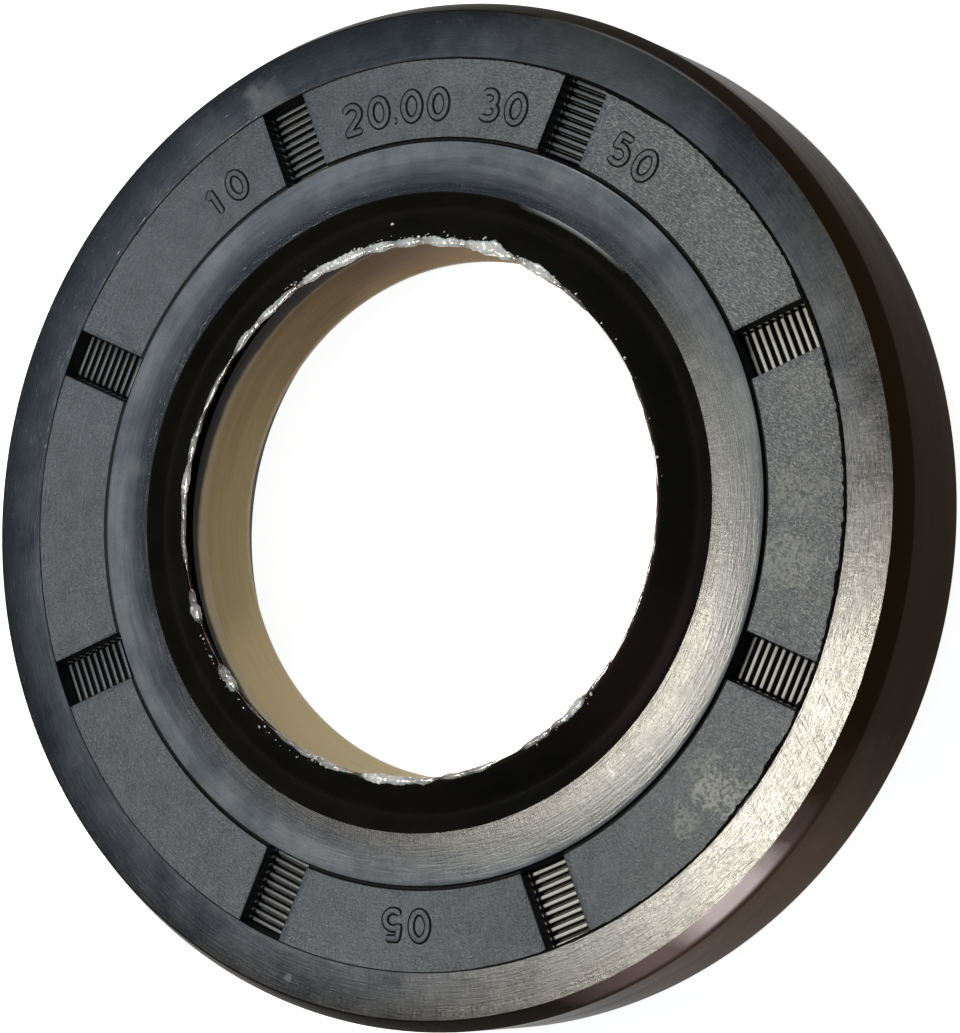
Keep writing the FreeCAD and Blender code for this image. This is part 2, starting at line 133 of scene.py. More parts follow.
def closed_grid(name, points, finishes, finish=None, tangents=None):
    """A piece over rows by columns of points, closed both ways, with one four-sided face to each cell, turned
    so that its faces look outwards. finish gives each cell's material; tangents adds a UV map whose first
    coordinate runs along the columns."""
    rows, columns = points.shape[:2]
    row, column = np.meshgrid(np.arange(rows), np.arange(columns), indexing="ij")
    next_row, next_column = (row + 1) % rows, (column + 1) % columns
    corners = [(row, column), (next_row, column), (next_row, next_column), (row, next_column)]
    faces = np.stack([(r * columns + c).ravel() for r, c in corners], axis=1)
    flat = points.reshape(-1, 3)
    a, b, c = flat[faces[:, 0]], flat[faces[:, 1]], flat[faces[:, 2]]
    if np.einsum("ij,ij->i", a, np.cross(b, c)).sum() < 0:
        faces = faces[:, ::-1]
    mesh = bpy.data.meshes.new(name)
    mesh.vertices.add(len(flat))
    mesh.vertices.foreach_set("co", flat.astype(np.float32).ravel())
    mesh.loops.add(faces.size)
    mesh.loops.foreach_set("vertex_index", faces.astype(np.int32).ravel())
    mesh.polygons.add(len(faces))
    mesh.polygons.foreach_set("loop_start", np.arange(0, faces.size, 4, dtype=np.int32))
    mesh.polygons.foreach_set("loop_total", np.full(len(faces), 4, dtype=np.int32))
    mesh.update(calc_edges=True)
    if tangents is not None:
        place = faces % columns
        wrapped = (place == 0) & ((place == columns - 1).any(axis=1))[:, None]
        along = tangents[place] + wrapped * 2 * np.pi
        across = (faces // columns) / rows
        layer = mesh.uv_layers.new(name="around")
        layer.data.foreach_set("uv", np.stack([along, across], axis=-1).astype(np.float32).ravel())
    return smooth_piece(mesh, finishes, finish)


def loose_piece(name, points, faces, finishes, finish=None):
    """A piece from points in millimetres and faces."""
    mesh = bpy.data.meshes.new(name)
    mesh.from_pydata((points * MM).tolist(), [], faces)
    return smooth_piece(mesh, finishes, finish)


def rounded_line(corners, step):
    """A line through corners of radius, height and rounding. Each corner with a rounding becomes an arc that
    touches both its sides; straight runs are divided so that no part is longer than step."""
    line = []
    for k, (r, z, rounding) in enumerate(corners):
        here = np.array([r, z])
        if rounding == 0 or k in (0, len(corners) - 1):
            line.append(here[None, :])
            continue
        back = np.array(corners[k - 1][:2]) - here
        ahead = np.array(corners[k + 1][:2]) - here
        back, ahead = back / np.linalg.norm(back), ahead / np.linalg.norm(ahead)
        half = math.acos(float(np.clip(back @ ahead, -1, 1))) / 2
        middle = here + (back + ahead) / np.linalg.norm(back + ahead) * rounding / math.sin(half)
        start = here + back * rounding / math.tan(half) - middle
        end = here + ahead * rounding / math.tan(half) - middle
        sweep = math.pi - 2 * half
        share = np.linspace(0, 1, max(4, int(sweep * rounding / 0.12) + 2))[:, None]
        arc = (np.sin((1 - share) * sweep) * start + np.sin(share * sweep) * end) / math.sin(sweep)
        line.append(middle + arc)
    line = np.concatenate(line)
    gaps = np.linalg.norm(np.diff(line, axis=0), axis=1)
    parts = np.maximum(1, np.ceil(gaps / step - 1e-6).astype(int))
    starts = np.repeat(np.arange(len(gaps)), parts)
    inside = np.concatenate([np.arange(n) / n for n in parts])[:, None]
    runs = line[starts] + inside * (line[starts + 1] - line[starts])
    return np.concatenate([runs, line[-1:]])


def crown(radius):
    """Height of the collar's crowned face: it falls from its top over the crown ring by the rise times the
    distance's share of the way to the collar's edge, to the power 1.5 outside the ring and 2.5 inside it."""
    share = np.abs(radius - CROWN_RING) / (COLLAR_EDGE - CROWN_RING)
    return FACE + CROWN_RISE * (1 - share ** np.where(radius > CROWN_RING, 1.5, 2.5))


def moulding_rows():
    """The moulding's section as rows of radius and height, in order round it, with each row's finish. Rows of
    the slotted band also have a second radius and height for the slots, and a mark: where it is 1, the row is
    straight inside a slot, so it keeps one distance along the slot instead of one radius."""
    rows = []

    def add(line, finish):  # rows that are the same inside a slot
        rows.extend((r, z, r, z, 0, finish(r, z) if callable(finish) else finish) for r, z in line)

    def front(r, z):
        return "collar" if r > COLLAR_START - 0.01 else "riser" if r > RISER_START else "channel"

    def within(r, z):  # grease is smeared over the sealing edge
        return "smeared" if r < 17.6 and 3.3 < z < 4.7 else "inside"

    collar_foot = ((20.28, 0.12), (COLLAR_START, 0), (COLLAR_TOP, 0))
    inner = GUARD_LIP + [(r, float(crown(r)), rounding) for r, rounding in collar_foot]
    add(rounded_line(inner, 0.45)[1:-1], front)
    over = np.linspace(COLLAR_TOP, COLLAR_EDGE - 0.07, 15)
    add(zip(over, crown(over)), "collar")
    add([(COLLAR_EDGE - 0.03, FACE - 0.012), (COLLAR_EDGE, FACE - 0.05), (COLLAR_EDGE, LINE_FLOOR)], "line")
    rows += [(LINE_MIDDLE, LINE_FLOOR, LINE_MIDDLE, LINE_FLOOR, 0, "line"),
             (LINE_OUTSIDE, LINE_FLOOR, LINE_MIDDLE + 0.01, SLOT_FLOOR + 0.05, 0, "line"),
             (LINE_OUTSIDE + 0.002, BAND - 0.04, LINE_MIDDLE + 0.04, SLOT_FLOOR, 0, "line"),
             (LINE_OUTSIDE + 0.04, BAND, SLOT_START, SLOT_FLOOR, 1, "band")]
    for rib in range(RIBS):
        centre = (LINE_MIDDLE + RIM_EDGE) / 2 + (rib - (RIBS - 1) / 2) * RIB_PITCH
        for offset, height in RIB_SECTION:
            along = centre + offset
            rows.append((math.hypot(along, SLOT_HALF), BAND, along, height, 1, "band"))
    rows += [(RIM_EDGE - 0.045, BAND, SLOT_END, SLOT_FLOOR, 1, "band"),
             (RIM_EDGE - 0.02, BAND, RIM_EDGE - 0.03, SLOT_FLOOR + 0.04, 0, "band"),
             (RIM_EDGE, BAND + 0.01, RIM_EDGE, BAND - 0.05, 0, "seam")]
    add([(RIM_EDGE + 0.02, FACE - 0.008)], "seam")
    add([(r, FACE) for r in np.linspace(RIM_EDGE + 0.08, RIM_END, 7)], "rim")
    add(rounded_line(OUTER_WALL, 1.8)[1:-1], "wall")
    add(rounded_line(BACK_CHANNEL, 1.4), "inside")
    mouth = 0.79682  # half the angle that the spring's groove is open over, radians
    around = np.linspace(mouth, 2 * np.pi - mouth, 14)
    groove = (SPRING_RING, SPRING_HEIGHT) + GROOVE_HALF * np.stack([np.cos(around), np.sin(around)], axis=-1)
    add(groove, "inside")
    add(rounded_line(SEALING_LIP, 0.8), within)
    return rows


def rubber_moulding(finishes):
    """The rubber moulding: its section carried round the axis. Inside a slot a column keeps one distance y
    from the slot's middle line, so its angle is asin(y / radius); between two slots the columns are spread
    evenly in angle. In the band, a slot's columns take the rows' second radius and height."""
    rows = moulding_rows()
    r, z, slot_r, slot_z, straight = (np.array([row[k] for row in rows], float)[:, None] for k in range(5))
    names = [row[5] for row in rows]
    half_floor = np.array([0.65, 1.28, 1.42, SLOT_HALF - 0.03])
    floor_y = np.concatenate([-half_floor[::-1], [0.0], half_floor])
    rib_left = np.interp(np.abs(floor_y), [1.28, 1.42, 1.5], [1.0, 0.75, 0.0])
    edge_y = np.array([SLOT_HALF, SLOT_HALF + 0.05])
    share = np.linspace(0, 1, BETWEEN_SLOTS + 2)[None, 1:-1]
    step = 2 * np.pi / SLOTS

    in_band = np.array([name in ("line", "band", "seam") for name in names])[:, None] & (slot_z < z - 0.2)
    cut_angle = np.where(straight > 0, np.arctan2(floor_y, slot_r), np.arcsin(floor_y / slot_r))
    floor_angle = np.where(in_band, cut_angle, np.arcsin(floor_y / r))
    edge_angle = np.arcsin(edge_y / r)
    between = edge_angle[:, -1:] + share * (step - 2 * edge_angle[:, -1:])
    angle = np.concatenate([-edge_angle[:, ::-1], floor_angle, edge_angle, between], axis=1)

    count = angle.shape[1]
    floor = slice(edge_y.size, edge_y.size + floor_y.size)
    radius = np.tile(r, (1, count))
    radius[:, floor] = np.where(in_band, np.where(straight > 0, np.hypot(slot_r, floor_y), slot_r), r)
    height = np.tile(z, (1, count))
    ribbed = np.where(straight > 0, SLOT_FLOOR + (slot_z - SLOT_FLOOR) * rib_left, slot_z)
    height[:, floor] = np.where(in_band, ribbed, z)
    height[:, [floor.start - 1, floor.stop]] = np.where(in_band, z - 0.04, z)

    angle = np.tile(angle, (1, SLOTS)) + np.repeat(np.arange(SLOTS) * step, count)
    column = np.arange(SLOTS * count) % count
    in_slot = (column >= floor.start - 1) & (column <= floor.stop)
    order = list(finishes)
    cell = np.array([order.index(name) for name in names])[:, None]
    cell = np.where(in_band & in_slot, order.index("slot"), cell)
    points = turned(np.tile(radius, (1, SLOTS)), angle, np.tile(height, (1, SLOTS)))
    return closed_grid("rubber_moulding", points, list(finishes.values()), cell, angle[0])


def flash_and_shadow_line(finish):
    """The torn skin of flash along the rim's inner edge: a thin ribbon that reaches inwards over the band and
    stands up by ragged amounts, most on the picture's right. Its black is partly the torn skin and partly a
    painted shadow of the gap under it, which shows most on the picture's right."""
    angle = full_turn(3600)
    side = 0.05 + 0.95 * np.clip(np.cos(angle + TURN - 0.05), 0, 1) ** 0.8
    long_tear = np.clip(waves(angle, 12, 8, 40, 0.3), 0, 1.2)
    tear = np.clip(waves(angle, 11, 90, 500, 0.4) - 0.25, 0, 1.0)
    width = 0.018 + side * (0.182 + 0.09 * tear + 0.14 * long_tear)
    lift = side * (0.03 + 0.05 * np.clip(waves(angle, 13, 30, 300, 0.4) + 0.2, 0, 1))
    wander = 0.045 * waves(angle, 14, 40, 400, 0.5) + 0.06 * waves(angle, 16, 12, 60, 0.3)
    outer = RIM_EDGE + 0.02 + side * wander
    inner = outer - width
    sunk = np.full(angle.size, BAND - 0.02)
    radius = np.stack([outer, outer, (outer + inner) / 2, inner, inner])
    height = np.stack([sunk, FACE - 0.005 + 0.3 * lift, BAND + 0.05 + lift, BAND + 0.02 + lift, sunk])
    return closed_grid("flash_and_shadow_line", turned(radius, angle, height), [finish])


def garter_coil(finish):
    """The garter spring: a wire wound round a ring. The coil's turns run round the ring's centre line, and
    the wire's own circle lies across the way it runs."""
    turns, per_turn, sides = 294, 12, 6
    wire = 0.19
    coil = SPRING_HALF - wire
    t = full_turn(turns * per_turn)
    wound = turns * t
    out = np.stack([np.cos(t), np.sin(t), 0 * t], axis=-1)
    up = np.array([0.0, 0.0, 1.0])
    path = (out * (SPRING_RING + coil * np.cos(wound))[:, None]
            + up * (SPRING_HEIGHT + coil * np.sin(wound))[:, None])
    along = np.roll(path, -1, axis=0) - np.roll(path, 1, axis=0)
    along /= np.linalg.norm(along, axis=1, keepdims=True)
    outward = out * np.cos(wound)[:, None] + up * np.sin(wound)[:, None]
    beside = np.cross(along, outward)
    beside /= np.linalg.norm(beside, axis=1, keepdims=True)
    outward = np.cross(beside, along)
    a = full_turn(sides)[None, :, None]
    ring = outward[:, None, :] * np.cos(a) + beside[:, None, :] * np.sin(a)
    return closed_grid("garter_coil", (path[:, None, :] + wire * ring) * MM, [finish])


# Swellings of the bead of grease: the middle and the reach in the picture's degrees, and the thickness.
SWELLINGS = [(106, 15, 0.22), (86, 12, 0.20), (71, 7, 0.28), (59, 7, 0.21), (48, 5, 0.10), (130, 12, 0.17),
             (150, 8, 0.11), (168, 14, 0.15), (184, 6, 0.14), (197.5, 2.2, 0.16), (200.5, 2.4, 0.22),
             (208, 3, 0.05), (215.5, 2.0, 0.25), (218.6, 2.4, 0.20), (227, 3, 0.07), (246, 12, 0.14),
             (266, 10, 0.20), (283, 7, 0.14), (301, 4, 0.16), (310, 5, 0.19), (320, 4, 0.12), (340, 10, 0.06),
             (355, 9, 0.05), (18, 8, 0.06)]
BEAD_RING, BEAD_HEIGHT, BEAD_TOP = 17.0, 11.92, 12.3


def grease_bead(finish):
    """The bead of grease pushed out along the dust lip's edge: a tube whose thickness swells where the
    photograph shows grease, with lumps that go a whole number of times round it and along it."""
    angle = full_turn(1800)[None, :]
    around = full_turn(14)[:, None]
    seen = np.degrees(angle + TURN) % 360
    thick = np.full(angle.shape, 0.012)
    for middle, reach, size in SWELLINGS:
        away = (seen - middle + 180) % 360 - 180
        thick = np.maximum(thick, size * np.exp(-((away / reach) ** 4)))
    swell = 1 + 0.28 * waves(angle, 21, 12, 60, 0.2)
    lumps = 0.20 * ripples(angle, around, 22, 25, 110) + 0.10 * ripples(angle, around, 23, 110, 420, 4)
    size = thick * np.clip(swell + lumps, 0.3, 2)
    radius = BEAD_RING + thick * (0.35 + 0.2 * waves(angle, 26, 12, 50, 0.2)) + 1.35 * size * np.cos(around)
    height = BEAD_HEIGHT + 0.62 * size * np.sin(around)
    piece = closed_grid("grease_bead", turned(radius, angle, np.minimum(height, BEAD_TOP)), [finish])
    depth = piece.data.attributes.new("depth", "FLOAT", "POINT")
    clear = 0.5 * np.exp(-(((seen - 208) / 17) ** 4))
    depth.data.foreach_set("value", (thick * swell * (1 - clear) + 0 * around).astype(np.float32).ravel())
    return piece


# Where droplets lie: from and to in the picture's degrees, how many, and how far they spread outwards.
DROPLETS = [(60, 124, 90, 0.12), (70, 124, 12, 0.5), (205, 250, 30, 0.18), (300, 318, 9, 0.1),
            (4, 60, 10, 0.08)]


def grease_droplets(finish):
    """Small droplets of grease beside the dust lip's edge. Each is a flattened ball, a few rings of points
    between two poles, scattered by a seeded draw along the stretches where the photograph sparkles."""
    rng = np.random.default_rng(31)
    seen = np.concatenate([rng.uniform(low, high, count) for low, high, count, reach in DROPLETS])
    out = np.concatenate([rng.exponential(reach, count) for low, high, count, reach in DROPLETS])
    size = 0.025 + 0.075 * rng.random(seen.size) ** 2
    radius = 17.2 + np.clip(out, 0, 1.6)
    height = np.where(radius < 17.3, 11.97, GUARD_TOP - (radius - 17.25) * 0.872)
    angle = np.radians(seen) - TURN
    rings, sides = 5, 8
    tilt = np.linspace(0, np.pi, rings + 2)[:, None]
    spin = full_turn(sides)[None, :]
    level = np.sin(tilt)
    ball = np.stack([level * np.cos(spin), level * np.sin(spin), 0.7 * np.cos(tilt) + 0 * spin], axis=-1)
    ball = np.concatenate([ball[:1, 0], ball[1:-1].reshape(-1, 3), ball[-1:, 0]])
    first = 1 + np.arange(sides)
    pairs = list(zip(first, np.roll(first, -1)))
    below = (rings - 1) * sides
    top = [(0, a, b) for a, b in pairs]
    walls = [(a + k, a + k + sides, b + k + sides, b + k) for k in range(0, below, sides) for a, b in pairs]
    foot = [(len(ball) - 1, b + below, a + below) for a, b in pairs]
    stretch = 1 + 0.5 * rng.random((seen.size, 1, 3))
    middle = np.stack([radius * np.cos(angle), radius * np.sin(angle), height], -1)[:, None, :]
    points = middle + ball[None, :, :] * size[:, None, None] * stretch
    faces = [tuple(int(v) + d * len(ball) for v in face)
             for d in range(seen.size) for face in top + walls + foot]
    return loose_piece("grease_droplets", points.reshape(-1, 3), faces, [finish])


def bow(middle, reach, start, end, count=14):
    """Points of an arc of an ellipse, from one angle to another in degrees."""
    a = np.radians(np.linspace(start, end, count))
    return np.stack([middle[0] + reach[0] * np.cos(a), middle[1] + reach[1] * np.sin(a)], axis=-1)


def figure_paths():
    """The middle lines of plain numerals, in a box 0.7 wide and 1 high."""
    flag = np.array([(0.14, 0.78), (0.40, 1.0), (0.40, 0.0)])
    two = np.concatenate([bow((0.35, 0.70), (0.31, 0.30), 165, -35), [(0.04, 0.0), (0.68, 0.0)]])
    three = np.concatenate([bow((0.33, 0.75), (0.27, 0.25), 150, -80),
                            bow((0.33, 0.27), (0.33, 0.27), 80, -150)])
    five = np.concatenate([[(0.60, 1.0), (0.12, 1.0), (0.07, 0.54)],
                           bow((0.32, 0.32), (0.33, 0.32), 125, -145)])
    return {"0": bow((0.35, 0.5), (0.33, 0.5), 0, 360, 33)[:-1], "1": flag, "2": two, "3": three, "5": five,
            ".": np.array([(0.27, 0.05), (0.41, 0.05)])}


def raised_stroke(line, half, closed):
    """A flat-topped ridge along a line: at each of its points a low section lies across the line, and an open
    line's ends are rounded by narrowing the section like a circle's edge."""
    spaced = np.concatenate([line, line[:1]]) if closed else line
    steps = np.concatenate([[0], np.cumsum(np.linalg.norm(np.diff(spaced, axis=0), axis=1))])
    count = max(8, int(steps[-1] / 0.09))
    at = np.linspace(0, steps[-1], count, endpoint=not closed)
    path = np.stack([np.interp(at, steps, spaced[:, k]) for k in (0, 1)], axis=-1)
    if closed:
        along = np.roll(path, -1, axis=0) - np.roll(path, 1, axis=0)
        narrow = np.ones(count)
    else:
        along = np.gradient(path, axis=0)
        from_end = np.minimum(at, steps[-1] - at)
        narrow = np.sqrt(np.clip(1 - (1 - np.clip(from_end / half, 0, 1)) ** 2, 0.02, 1))
    along /= np.linalg.norm(along, axis=1, keepdims=True)
    beside = np.stack([-along[:, 1], along[:, 0]], axis=-1)
    section = np.array([(-half - 0.10, -0.03), (-half - 0.07, 0.005), (-half + 0.06, 0.075), (0.0, 0.095),
                        (half - 0.06, 0.075), (half + 0.07, 0.005), (half + 0.10, -0.03)])
    flat = path[:, None, :] + beside[:, None, :] * (section[None, :, :1] * narrow[:, None, None])
    tall = np.broadcast_to(section[None, :, 1:], flat.shape[:2] + (1,))
    points = np.concatenate([flat, tall], axis=-1)
    wide = len(section)
    k = np.arange(count if closed else count - 1)[:, None]
    j = np.arange(wide)[None, :]
    ahead, side = (k + 1) % count, (j + 1) % wide
    faces = np.stack([k * wide + side, ahead * wide + side, ahead * wide + j, k * wide + j], axis=-1)
    faces = faces.reshape(-1, 4).tolist()
    # Strips 1 and 4, the ridge's sloping sides, take the second finish: black as painted shade.
    dark = [int(strip in (1, 4)) for strip in range(wide)] * len(k)
    if not closed:
        faces += [list(range(wide)), [(count - 1) * wide + j for j in reversed(range(wide))]]
        dark += [0, 0]
    return points.reshape(-1, 3), faces, dark


# The numerals: text, its middle in degrees from slot 1, and its ring's radius.
MARKS = [("10", 103.2, 26.0), ("20.00", 73.3, 26.05), ("30", 56.1, 26.05), ("50", 34.0, 26.05),
         ("05", -113.2, 26.1)]
FIGURE_TALL, FIGURE_PITCH, STROKE_HALF = 1.75, 1.95, 0.21


def raised_figures(top, side):
    """Plain raised numerals on the band with their tops outwards, where the moulded size marks are.
    Their sloping sides are black as painted shade.
    """
    paths = figure_paths()
    points, faces, shaded_sides, base = [], [], [], 0
    for text, middle, ring in MARKS:
        steps = np.array([0.62 if "." in pair else 1.0 for pair in zip(text, text[1:])])
        offsets = np.concatenate([[0], np.cumsum(steps)]) * FIGURE_PITCH
        offsets -= offsets[-1] / 2
        for figure, offset in zip(text, offsets):
            line = (paths[figure] - (0.35, 0.5)) * (FIGURE_TALL * 1.02, FIGURE_TALL)
            flat, made, dark = raised_stroke(line, STROKE_HALF, figure == "0")
            turn = math.radians(middle) - offset / ring
            cosine, sine = math.cos(turn), math.sin(turn)
            away, across = ring + flat[:, 1], flat[:, 0]
            points.append(np.stack([away * cosine + across * sine, away * sine - across * cosine,
                                    BAND + flat[:, 2]], axis=-1))
            faces += [tuple(corner + base for corner in face) for face in made]
            shaded_sides += dark
            base += len(flat)
    return loose_piece("raised_figures", np.concatenate(points), faces, [top, side], shaded_sides)


def put(tree, kind, values=None, **settings):
    """A shader node, with its inputs set or linked by name or number."""
    made = tree.nodes.new("ShaderNode" + kind)
    for name, value in settings.items():
        setattr(made, name, value)
    for key, value in (values or {}).items():
        if isinstance(value, bpy.types.NodeSocket):
            tree.links.new(value, made.inputs[key])
        else:
            made.inputs[key].default_value = value
    return made


def calc(tree, operation, *values):
    """The output of a Math node."""
    return put(tree, "Math", dict(enumerate(values)), operation=operation).outputs[0]


def plus(tree, first, second):
    """The sum of two values."""
    return calc(tree, "ADD", first, second)


def times(tree, first, second):
    """The product of two values."""
    return calc(tree, "MULTIPLY", first, second)


def weighted(tree, first, *others):
    """The sum of values times their weights, each given as a pair."""
    total = times(tree, *first)
    for value, weight in others:
        total = plus(tree, total, times(tree, value, weight))
    return total


def swing(tree, value, size):
    """How far a noise's value lies from its middle, 0.5, times size."""
    return times(tree, calc(tree, "SUBTRACT", value, 0.5), size)


def spread(tree, value, low, high, new_low=0.0, new_high=1.0):
    """value from low..high taken to new_low..new_high, held at the ends."""
    places = {0: value, 1: low, 2: high, 3: new_low, 4: new_high}
    return put(tree, "MapRange", places, clamp=True).outputs[0]


def blend(tree, share, first, second):
    """first where share is 0, second where it is 1. Each is a socket or three numbers."""
    first, second = ((*colour, 1) if isinstance(colour, tuple) else colour for colour in (first, second))
    return put(tree, "Mix", {0: share, 6: first, 7: second}, data_type="RGBA").outputs[2]


def vector(tree, operation, values, output=0):
    """An output of a Vector Math node."""
    return put(tree, "VectorMath", values, operation=operation).outputs[output]


def place_on(tree):
    """The place on the surface, in metres."""
    return put(tree, "TexCoord").outputs["Object"]


def upward(tree, given="Object"):
    """The height of the place on the surface in metres, or with Normal, how far the surface faces up."""
    return put(tree, "SeparateXYZ", {0: put(tree, "TexCoord").outputs[given]}).outputs[2]


def seen_place(x, y, height=FACE):
    """A vector in metres for a place given in the picture's own directions, x to the right and y up."""
    across = x * math.cos(TURN) + y * math.sin(TURN)
    up = -x * math.sin(TURN) + y * math.cos(TURN)
    return (across * MM, up * MM, height * MM)


def ramp(tree, x, y, low, high, new_low=0.0, new_high=1.0):
    """A value that goes from new_low to new_high along the picture's direction x, y, from low to high
    millimetres past the axis. The place and the direction are both in metres, hence MM twice."""
    along = vector(tree, "DOT_PRODUCT", {0: place_on(tree), 1: seen_place(x, y, 0)}, "Value")
    return spread(tree, along, low * MM * MM, high * MM * MM, new_low, new_high)


def new_group(name, outputs, **inputs):
    """A shader node group with named inputs, which have the given first values, and named outputs that are
    numbers. Returns it with the sockets that its inputs and outputs have inside it."""
    group = bpy.data.node_groups.new(name, "ShaderNodeTree")
    for label, value in inputs.items():
        kind = "NodeSocketVector" if isinstance(value, tuple) else "NodeSocketFloat"
        group.interface.new_socket(label, in_out="INPUT", socket_type=kind).default_value = value
    for label in outputs:
        group.interface.new_socket(label, in_out="OUTPUT", socket_type="NodeSocketFloat")
    return group, group.nodes.new("NodeGroupInput").outputs, group.nodes.new("NodeGroupOutput").inputs


def noise(tree, place, scale, detail, roughness, depth=None):
    """Noise at a place, read at depth in its fourth dimension where that is given."""
    values = {"Vector": place, "Scale": scale, "Detail": detail, "Roughness": roughness}
    if depth is None:
        return put(tree, "TexNoise", values).outputs[0]
    return put(tree, "TexNoise", {**values, "W": depth}, noise_dimensions="4D").outputs[0]


def make_ring_streaks():
    """Streaks that run round the axis: noise read at the direction from the axis, times Length, and at the
    distance across the surface, times Fineness."""
    tree, given, out = new_group("ring_streaks", ["Value", "Radius"], Fineness=6.0, Length=3.0, Seed=0.0)
    place = vector(tree, "SCALE", {0: place_on(tree), "Scale": 1 / MM})
    apart = put(tree, "SeparateXYZ", {0: place}).outputs
    level = put(tree, "CombineXYZ", {0: apart[0], 1: apart[1]}).outputs[0]
    radius = vector(tree, "LENGTH", {0: level}, "Value")
    around = vector(tree, "NORMALIZE", {0: level})
    spot = vector(tree, "SCALE", {0: around, "Scale": given["Length"]})
    depth = plus(tree, times(tree, plus(tree, radius, apart[2]), given["Fineness"]), given["Seed"])
    tree.links.new(noise(tree, spot, 1.0, 3.0, 0.65, depth), out["Value"])
    tree.links.new(radius, out["Radius"])
    return tree


def make_grain():
    """Even grain: noise whose features are Size millimetres across."""
    tree, given, out = new_group("grain", ["Value"], Size=0.2, Detail=3.0, Seed=0.0)
    scale = calc(tree, "DIVIDE", 1 / MM, given["Size"])
    tree.links.new(noise(tree, place_on(tree), scale, given["Detail"], 0.6, given["Seed"]), out["Value"])
    return tree


def make_patch():
    """A patch round Place, given in metres: 1 at its middle, falling to 0 at Reach millimetres, with an edge
    broken by noise."""
    tree, given, out = new_group("patch", ["Mask"], Place=(0, 0, 0), Reach=3.0, Broken=0.6)
    here = place_on(tree)
    away = vector(tree, "DISTANCE", {0: here, 1: given["Place"]}, "Value")
    away = calc(tree, "DIVIDE", calc(tree, "DIVIDE", away, MM), given["Reach"])
    edge = swing(tree, noise(tree, here, 0.9 / MM, 8.0, 0.75), times(tree, given["Broken"], 4))
    tree.links.new(spread(tree, plus(tree, away, edge), 1.0, 0.35), out["Mask"])
    return tree


def make_specks():
    """Small round specks: near the middle of a cell of Spacing millimetres, in a share of the cells."""
    tree, given, out = new_group("specks", ["Mask"], Spacing=1.0, Width=0.08, Share=0.3)
    scale = calc(tree, "DIVIDE", 1 / MM, given["Spacing"])
    cells = put(tree, "TexVoronoi", {"Vector": place_on(tree), "Scale": scale}).outputs
    width = calc(tree, "DIVIDE", given["Width"], given["Spacing"])
    near = calc(tree, "LESS_THAN", cells["Distance"], width)
    chance = put(tree, "SeparateColor", {0: cells["Color"]}).outputs[0]
    chosen = calc(tree, "LESS_THAN", chance, given["Share"])
    tree.links.new(times(tree, near, chosen), out["Mask"])
    return tree


def make_hatch():
    """Straight strokes side by side, about Width millimetres wide and Stretch times as long, after a turn of
    Turn radians about Z."""
    tree, given, out = new_group("hatch", ["Value"], Turn=0.0, Width=0.2, Stretch=10.0)
    turning = {"Vector": place_on(tree), "Angle": given["Turn"]}
    flat = put(tree, "VectorRotate", turning, rotation_type="Z_AXIS")
    squeeze = put(tree, "CombineXYZ", {0: calc(tree, "DIVIDE", 1.0, given["Stretch"]), 1: 1.0, 2: 1.0})
    long = vector(tree, "MULTIPLY", {0: flat.outputs[0], 1: squeeze.outputs[0]})
    scale = calc(tree, "DIVIDE", 1 / MM, given["Width"])
    tree.links.new(noise(tree, long, scale, 2.0, 0.5), out["Value"])
    return tree


GROUPS = {"streaks": make_ring_streaks(), "grain": make_grain(), "patch": make_patch(),
          "specks": make_specks(), "hatch": make_hatch()}


def use(tree, name, **values):
    """The first output of one of the groups, with its inputs given by name."""
    made = tree.nodes.new("ShaderNodeGroup")
    made.node_tree = GROUPS[name]
    for key, value in values.items():
        made.inputs[key].default_value = value
    return made.outputs[0]


def new_finish(name, **constants):
    """A material with a Principled BSDF, whose fixed inputs are set on its own sockets."""
    material = bpy.data.materials.new(name)
    material.use_nodes = True
    tree = material.node_tree
    shader = tree.nodes["Principled BSDF"]
    for key, value in constants.items():
        shader.inputs[key.replace("_", " ")].default_value = value
    return material, tree, shader


def bump(tree, shader, height, distance, strength=1.0):
    """A Bump node, distance in millimetres, that feeds the shader's Normal."""
    made = put(tree, "Bump", {"Height": height, "Distance": distance * MM, "Strength": strength})
    tree.links.new(made.outputs[0], shader.inputs["Normal"])


def paint(tree, shader, colour, roughness):
    """Links a colour and a roughness to the shader."""
    tree.links.new(colour, shader.inputs["Base Color"])
    tree.links.new(roughness, shader.inputs["Roughness"])


def along_rings(tree, shader):
    """Turns the shader's stretched gloss to spread across the buffing marks that run round the axis."""
    tangent = put(tree, "Tangent", direction_type="UV_MAP", uv_map="around")
    tree.links.new(tangent.outputs[0], shader.inputs["Tangent"])
    shader.inputs["Anisotropic Rotation"].default_value = 0.25


